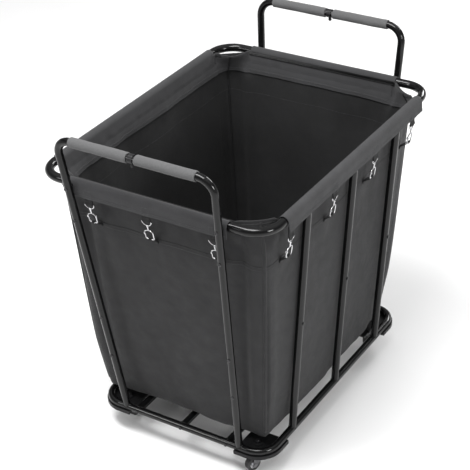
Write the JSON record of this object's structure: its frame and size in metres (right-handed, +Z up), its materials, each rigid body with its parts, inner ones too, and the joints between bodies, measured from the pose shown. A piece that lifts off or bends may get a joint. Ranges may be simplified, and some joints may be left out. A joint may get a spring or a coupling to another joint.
{
  "type": "laundry cart",
  "caption": "Rolling laundry sorter: a tapered black fabric bag hung by snap hooks from a tube frame with push handles and swivel casters.",
  "frame": {"origin": "on the floor under the middle of the frame; the bounding box's bottom centre", "axes": "+Z up, X across the short ends, Y along the length with the front end at -Y"},
  "size_m": [0.646, 0.9068, 0.9005],
  "materials": {
    "black_tube": "gloss black powder-coated steel tube",
    "screw_black": "blackened steel screw heads",
    "clamp_black": "black clamp band, sleeve and bolt",
    "black_plastic": "black moulded plastic",
    "pedal_plastic": "dark grey moulded plastic",
    "grip_foam": "matte dark grey foam",
    "bag_fabric": "black woven coated fabric",
    "collar_fabric": "black woven coated fabric, hemmed",
    "webbing": "black woven webbing",
    "hook_chrome": "bright nickel plating",
    "wheel_chrome": "bright plated steel hub",
    "caster_steel": "zinc plated pressed steel",
    "fastener_steel": "zinc plated steel",
    "tyre_rubber": "dark grey rubber"
  },
  "bodies": {
    "frame": {"bag_body": "bag_fabric", "bag_collars": "collar_fabric", "base_bars": "black_tube", "base_ring_front": "black_tube", "base_ring_rear": "black_tube", "caster_stems": "fastener_steel", "corner_plate_front_left": "black_plastic", "corner_plate_front_right": "black_plastic", "corner_plate_rear_left": "black_plastic", "corner_plate_rear_right": "black_plastic", "foam_grips_front": "grip_foam", "foam_grips_rear": "grip_foam", "frame_screws": "screw_black", "handle_joiners": "clamp_black", "handle_tube_front_left": "black_tube", "handle_tube_front_right": "black_tube", "handle_tube_rear_left": "black_tube", "handle_tube_rear_right": "black_tube", "hook_webbing": "webbing", "leg_spacers": "black_plastic", "lower_legs_front": "black_tube", "lower_legs_rear": "black_tube", "side_post_left_front": "black_tube", "side_post_left_middle": "black_tube", "side_post_left_rear": "black_tube", "side_post_right_front": "black_tube", "side_post_right_middle": "black_tube", "side_post_right_rear": "black_tube", "snap_hook_eyes": "hook_chrome", "snap_hook_frames": "hook_chrome", "top_ring_front": "black_tube", "top_ring_rear": "black_tube"},
    "caster_front_left": {"caster_fork_front_left": "caster_steel"},
    "wheel_front_left": {"wheel_hub_front_left": "wheel_chrome", "wheel_tyre_front_left": "tyre_rubber"},
    "caster_front_right": {"caster_fork_front_right": "caster_steel"},
    "wheel_front_right": {"wheel_hub_front_right": "wheel_chrome", "wheel_tyre_front_right": "tyre_rubber"},
    "caster_rear_left": {"caster_fork_rear_left": "caster_steel"},
    "wheel_rear_left": {"wheel_hub_rear_left": "wheel_chrome", "wheel_tyre_rear_left": "tyre_rubber"},
    "brake_rear_left": {"brake_pedal_rear_left": "pedal_plastic"},
    "caster_rear_right": {"caster_fork_rear_right": "caster_steel"},
    "wheel_rear_right": {"wheel_hub_rear_right": "wheel_chrome", "wheel_tyre_rear_right": "tyre_rubber"},
    "brake_rear_right": {"brake_pedal_rear_right": "pedal_plastic"},
    "gate_01": {"hook_gate_01": "hook_chrome"},
    "gate_02": {"hook_gate_02": "hook_chrome"},
    "gate_03": {"hook_gate_03": "hook_chrome"},
    "gate_04": {"hook_gate_04": "hook_chrome"},
    "gate_05": {"hook_gate_05": "hook_chrome"},
    "gate_06": {"hook_gate_06": "hook_chrome"},
    "gate_07": {"hook_gate_07": "hook_chrome"},
    "gate_08": {"hook_gate_08": "hook_chrome"},
    "gate_09": {"hook_gate_09": "hook_chrome"},
    "gate_10": {"hook_gate_10": "hook_chrome"},
    "gate_11": {"hook_gate_11": "hook_chrome"},
    "gate_12": {"hook_gate_12": "hook_chrome"},
    "gate_13": {"hook_gate_13": "hook_chrome"},
    "gate_14": {"hook_gate_14": "hook_chrome"}
  },
  "joints": [
    {"name": "caster_front_left_swivel", "type": "hinge", "parent": "frame", "child": "caster_front_left", "pos_m": [-0.196, -0.301, 0.058], "axis": [0, 0, 1], "continuous": true},
    {"name": "caster_front_left_wheel", "type": "hinge", "parent": "caster_front_left", "child": "wheel_front_left", "pos_m": [-0.196, -0.281, 0.02], "axis": [-1, 0, 0], "continuous": true},
    {"name": "caster_front_right_swivel", "type": "hinge", "parent": "frame", "child": "caster_front_right", "pos_m": [0.196, -0.301, 0.058], "axis": [0, 0, 1], "continuous": true},
    {"name": "caster_front_right_wheel", "type": "hinge", "parent": "caster_front_right", "child": "wheel_front_right", "pos_m": [0.18916, -0.31979, 0.02], "axis": [0.9397, -0.342, 0], "continuous": true},
    {"name": "caster_rear_left_swivel", "type": "hinge", "parent": "frame", "child": "caster_rear_left", "pos_m": [-0.196, 0.301, 0.058], "axis": [0, 0, 1], "continuous": true},
    {"name": "caster_rear_left_wheel", "type": "hinge", "parent": "caster_rear_left", "child": "wheel_rear_left", "pos_m": [-0.18661, 0.28334, 0.02], "axis": [0.8829, 0.4695, 0], "continuous": true},
    {"name": "brake_rear_left_press", "type": "hinge", "parent": "caster_rear_left", "child": "brake_rear_left", "pos_m": [-0.18192, 0.27451, 0.047], "axis": [0.8829, 0.4695, 0], "range_deg": [0, 18]},
    {"name": "caster_rear_right_swivel", "type": "hinge", "parent": "frame", "child": "caster_rear_right", "pos_m": [0.196, 0.301, 0.058], "axis": [0, 0, 1], "continuous": true},
    {"name": "caster_rear_right_wheel", "type": "hinge", "parent": "caster_rear_right", "child": "wheel_rear_right", "pos_m": [0.196, 0.281, 0.02], "axis": [1, 0, 0], "continuous": true},
    {"name": "brake_rear_right_press", "type": "hinge", "parent": "caster_rear_right", "child": "brake_rear_right", "pos_m": [0.196, 0.271, 0.047], "axis": [1, 0, 0], "range_deg": [0, 18]},
    {"name": "hook_gate_01_open", "type": "hinge", "parent": "frame", "child": "gate_01", "pos_m": [-0.1712, -0.40461, 0.67805], "axis": [0, -0.9848, -0.1736], "range_deg": [0, 26], "stiffness_Nm_per_rad": 0.004, "springref_deg": -8.59},
    {"name": "hook_gate_02_open", "type": "hinge", "parent": "frame", "child": "gate_02", "pos_m": [-0.0112, -0.40461, 0.67805], "axis": [0, -0.9848, -0.1736], "range_deg": [0, 26], "stiffness_Nm_per_rad": 0.004, "springref_deg": -8.59},
    {"name": "hook_gate_03_open", "type": "hinge", "parent": "frame", "child": "gate_03", "pos_m": [0.1688, -0.40461, 0.67805], "axis": [0, -0.9848, -0.1736], "range_deg": [0, 26], "stiffness_Nm_per_rad": 0.004, "springref_deg": -8.59},
    {"name": "hook_gate_04_open", "type": "hinge", "parent": "frame", "child": "gate_04", "pos_m": [0.31361, -0.3272, 0.67805], "axis": [0.9848, 0, -0.1736], "range_deg": [0, 26], "stiffness_Nm_per_rad": 0.004, "springref_deg": -8.59},
    {"name": "hook_gate_05_open", "type": "hinge", "parent": "frame", "child": "gate_05", "pos_m": [0.31361, -0.1292, 0.67805], "axis": [0.9848, 0, -0.1736], "range_deg": [0, 26], "stiffness_Nm_per_rad": 0.004, "springref_deg": -8.59},
    {"name": "hook_gate_06_open", "type": "hinge", "parent": "frame", "child": "gate_06", "pos_m": [0.31361, 0.0688, 0.67805], "axis": [0.9848, 0, -0.1736], "range_deg": [0, 26], "stiffness_Nm_per_rad": 0.004, "springref_deg": -8.59},
    {"name": "hook_gate_07_open", "type": "hinge", "parent": "frame", "child": "gate_07", "pos_m": [0.31361, 0.2668, 0.67805], "axis": [0.9848, 0, -0.1736], "range_deg": [0, 26], "stiffness_Nm_per_rad": 0.004, "springref_deg": -8.59},
    {"name": "hook_gate_08_open", "type": "hinge", "parent": "frame", "child": "gate_08", "pos_m": [0.1712, 0.40461, 0.67805], "axis": [0, 0.9848, -0.1736], "range_deg": [0, 26], "stiffness_Nm_per_rad": 0.004, "springref_deg": -8.59},
    {"name": "hook_gate_09_open", "type": "hinge", "parent": "frame", "child": "gate_09", "pos_m": [0.0112, 0.40461, 0.67805], "axis": [0, 0.9848, -0.1736], "range_deg": [0, 26], "stiffness_Nm_per_rad": 0.004, "springref_deg": -8.59},
    {"name": "hook_gate_10_open", "type": "hinge", "parent": "frame", "child": "gate_10", "pos_m": [-0.1688, 0.40461, 0.67805], "axis": [0, 0.9848, -0.1736], "range_deg": [0, 26], "stiffness_Nm_per_rad": 0.004, "springref_deg": -8.59},
    {"name": "hook_gate_11_open", "type": "hinge", "parent": "frame", "child": "gate_11", "pos_m": [-0.31361, 0.3272, 0.67805], "axis": [-0.9848, 0, -0.1736], "range_deg": [0, 26], "stiffness_Nm_per_rad": 0.004, "springref_deg": -8.59},
    {"name": "hook_gate_12_open", "type": "hinge", "parent": "frame", "child": "gate_12", "pos_m": [-0.31361, 0.1292, 0.67805], "axis": [-0.9848, 0, -0.1736], "range_deg": [0, 26], "stiffness_Nm_per_rad": 0.004, "springref_deg": -8.59},
    {"name": "hook_gate_13_open", "type": "hinge", "parent": "frame", "child": "gate_13", "pos_m": [-0.31361, -0.0688, 0.67805], "axis": [-0.9848, 0, -0.1736], "range_deg": [0, 26], "stiffness_Nm_per_rad": 0.004, "springref_deg": -8.59},
    {"name": "hook_gate_14_open", "type": "hinge", "parent": "frame", "child": "gate_14", "pos_m": [-0.31361, -0.2668, 0.67805], "axis": [-0.9848, 0, -0.1736], "range_deg": [0, 26], "stiffness_Nm_per_rad": 0.004, "springref_deg": -8.59}
  ]
}
